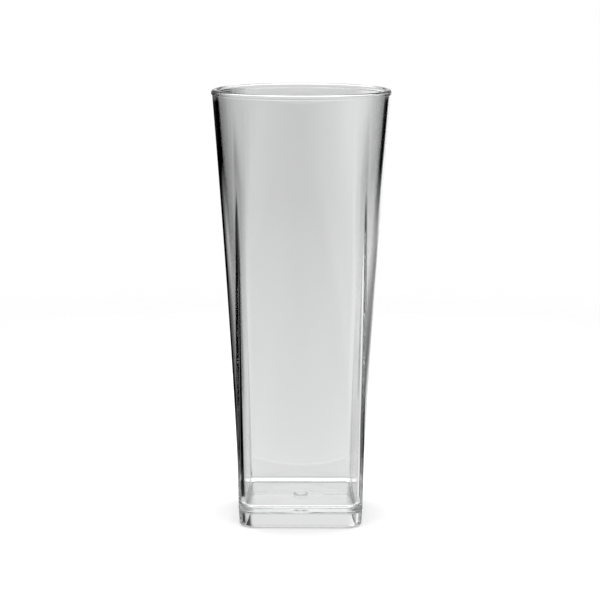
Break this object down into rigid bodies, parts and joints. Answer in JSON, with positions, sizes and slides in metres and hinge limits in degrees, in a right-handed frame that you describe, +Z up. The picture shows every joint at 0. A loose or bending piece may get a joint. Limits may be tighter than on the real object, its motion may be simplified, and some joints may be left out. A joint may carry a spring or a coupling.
{
  "type": "highball glass",
  "caption": "Tall clear tumbler with a round mouth flaring up from a rounded square foot, a thin floor and a hollow skirt, for long drinks.",
  "frame": {"origin": "centre of the foot, on the table", "axes": "+Z up out of the mouth, X and Y square to the foot's flat sides"},
  "size_m": [0.0704, 0.0704, 0.17],
  "materials": {
    "clear_plastic": "clear high gloss, straight from a polished mould"
  },
  "bodies": {
    "root": {"lip_ring": "clear_plastic", "body_wall": "clear_plastic", "floor_plate": "clear_plastic", "gate_pip": "clear_plastic", "foot_skirt": "clear_plastic"}
  },
  "joints": []
}
